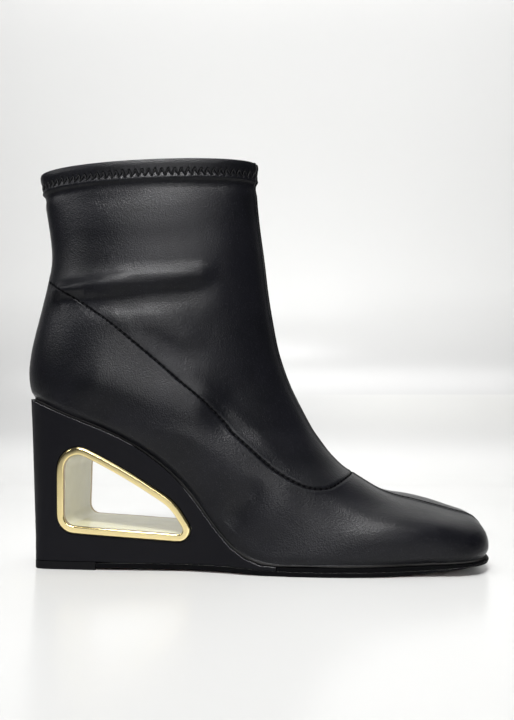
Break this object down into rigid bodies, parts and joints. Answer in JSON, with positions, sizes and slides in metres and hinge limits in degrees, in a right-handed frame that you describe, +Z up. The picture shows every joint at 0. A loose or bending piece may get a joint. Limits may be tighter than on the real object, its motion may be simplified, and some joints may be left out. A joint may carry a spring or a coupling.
{
  "type": "wedge ankle boot",
  "caption": "Pull-on ankle boot for the right foot, with a square toe and a covered wedge heel that has a metal-rimmed window right through it.",
  "frame": {"origin": "middle of the boot's box, on the floor", "axes": "+X from the heel to the toe, +Y to the inner side of the foot, +Z up"},
  "size_m": [0.234, 0.0766, 0.207],
  "materials": {
    "leather": "satin",
    "lining": "matte",
    "cover": "matte",
    "sleeve": "gloss",
    "gold": "polished",
    "sole_edge": "satin",
    "sole": "matte",
    "heel_tip": "matte"
  },
  "bodies": {
    "root": {"upper": "leather", "insole": "lining", "heel_wedge": "cover", "window_sleeve": "sleeve", "window_rim_lateral": "gold", "window_rim_medial": "gold", "midsole": "sole_edge", "outsole": "sole", "top_lift": "heel_tip"}
  },
  "joints": []
}
